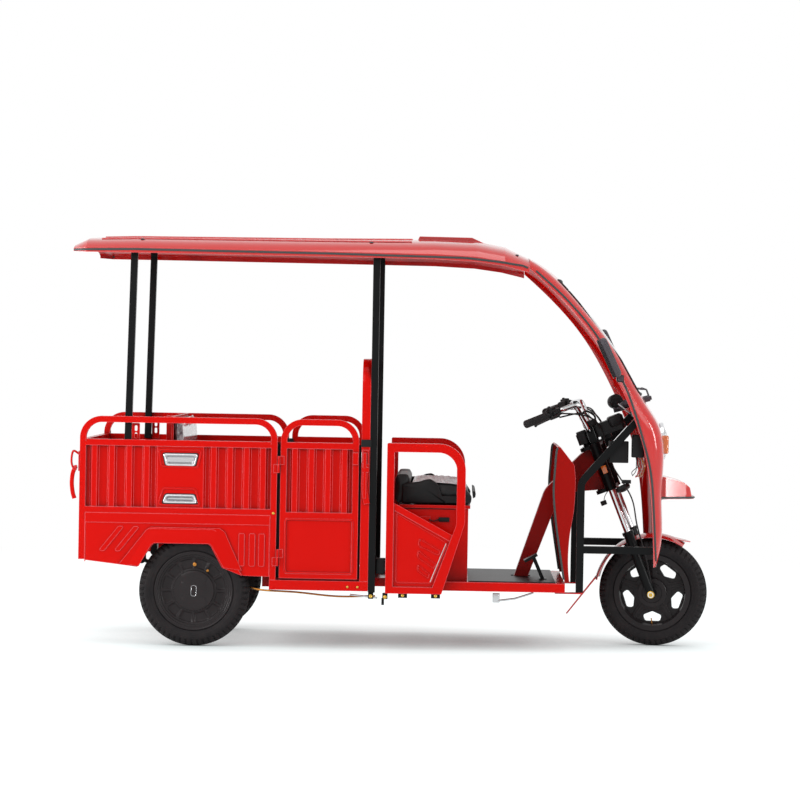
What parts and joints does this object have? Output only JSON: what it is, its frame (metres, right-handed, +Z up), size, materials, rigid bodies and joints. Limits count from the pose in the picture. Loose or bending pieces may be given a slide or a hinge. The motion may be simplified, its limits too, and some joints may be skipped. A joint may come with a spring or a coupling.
{
  "type": "three-wheeled passenger motorcycle",
  "caption": "Electric three-wheeled motorcycle with a canopy, a curved front with a screen, a driver's seat and an open rear body with a bench, side doors and a drop gate.",
  "frame": {"origin": "on the floor under the middle of the vehicle's bounding box", "axes": "+X forwards, +Y to the vehicle's left, +Z up; the front wheel is stored turned 9 degrees to the right"},
  "size_m": [2.7044, 1.23, 1.7399],
  "materials": {
    "red_paint": "gloss",
    "red_shell": "gloss",
    "black_paint": "satin",
    "black_plastic": "matt",
    "grey_plastic": "satin",
    "tyre_rubber": "matt",
    "grip_rubber": "matt",
    "bright_steel": "bright",
    "silver_plate": "satin",
    "black_leatherette": "satin",
    "wrapped_pad": "wrapped in clear film",
    "clear_screen": "clear",
    "clear_lens": "clear",
    "amber_lens": "gloss",
    "red_lens": "gloss"
  },
  "bodies": {
    "chassis": {"main_frame": "red_paint", "rear_axle": "black_paint", "leaf_springs": "black_paint", "side_panel_right": "red_paint", "side_panel_left": "red_paint", "grip_bowls": "silver_plate", "arch_skirts": "red_paint", "rear_panel": "red_paint", "load_floor": "red_paint", "headboard": "red_paint", "roof_shell": "red_shell", "roof_frame": "black_paint", "roof_posts": "black_paint", "post_brackets": "red_paint", "front_shell": "red_shell", "windscreen": "clear_screen", "headlamp": "clear_lens", "turn_lamps": "amber_lens", "tail_lamps": "red_lens", "down_tube": "red_paint", "deck": "red_paint", "deck_mat": "black_plastic", "seat_base": "red_paint", "battery_pack": "black_plastic", "driver_cushion": "black_leatherette", "driver_roll": "black_leatherette", "guard_right": "red_paint", "guard_left": "red_paint", "leg_shield": "red_shell", "front_subframe": "black_paint", "nose_stays": "black_paint", "brake_pedal": "black_paint", "bench_frame": "red_paint", "bench_back": "wrapped_pad", "bench_cushion": "wrapped_pad", "mirror_right": "grey_plastic", "mirror_left": "grey_plastic", "wiper": "grey_plastic"},
    "steering": {"fork_sliders": "black_paint", "fork_tubes": "bright_steel", "fork_yoke": "black_paint", "handlebar": "bright_steel", "grips": "grip_rubber", "controls": "black_plastic", "front_mudguard": "red_shell"},
    "front_wheel": {"front_tyre": "tyre_rubber", "front_rim": "black_paint"},
    "rear_wheel_right": {"rear_tyre_right": "tyre_rubber", "rear_rim_right": "black_paint"},
    "rear_wheel_left": {"rear_tyre_left": "tyre_rubber", "rear_rim_left": "black_paint"},
    "side_door_right": {"door_right": "red_paint"},
    "side_door_left": {"door_left": "red_paint"},
    "rear_gate": {"tailgate": "red_paint"}
  },
  "joints": [
    {"name": "steering_turn", "type": "hinge", "parent": "chassis", "child": "steering", "pos_m": [0.86204, 0, 0.77474], "axis": [-0.3714, 0, 0.9285], "range_deg": [-29, 47]},
    {"name": "front_wheel_spin", "type": "hinge", "parent": "steering", "child": "front_wheel", "pos_m": [1.12154, -0.00626, 0.23232], "axis": [0.1452, 0.9877, 0.0581], "continuous": true},
    {"name": "rear_wheel_right_spin", "type": "hinge", "parent": "chassis", "child": "rear_wheel_right", "pos_m": [-0.832, -0.4, 0.2325], "axis": [0, 1, 0], "continuous": true},
    {"name": "rear_wheel_left_spin", "type": "hinge", "parent": "chassis", "child": "rear_wheel_left", "pos_m": [-0.832, 0.4, 0.2325], "axis": [0, 1, 0], "continuous": true},
    {"name": "side_door_right_swing", "type": "hinge", "parent": "chassis", "child": "side_door_right", "pos_m": [-0.481, -0.465, 0.575], "axis": [0, 0, -1], "range_deg": [0, 150]},
    {"name": "side_door_left_swing", "type": "hinge", "parent": "chassis", "child": "side_door_left", "pos_m": [-0.481, 0.465, 0.575], "axis": [0, 0, 1], "range_deg": [0, 150]},
    {"name": "rear_gate_drop", "type": "hinge", "parent": "chassis", "child": "rear_gate", "pos_m": [-1.324, 0, 0.582], "axis": [0, -1, 0], "range_deg": [0, 160]}
  ]
}
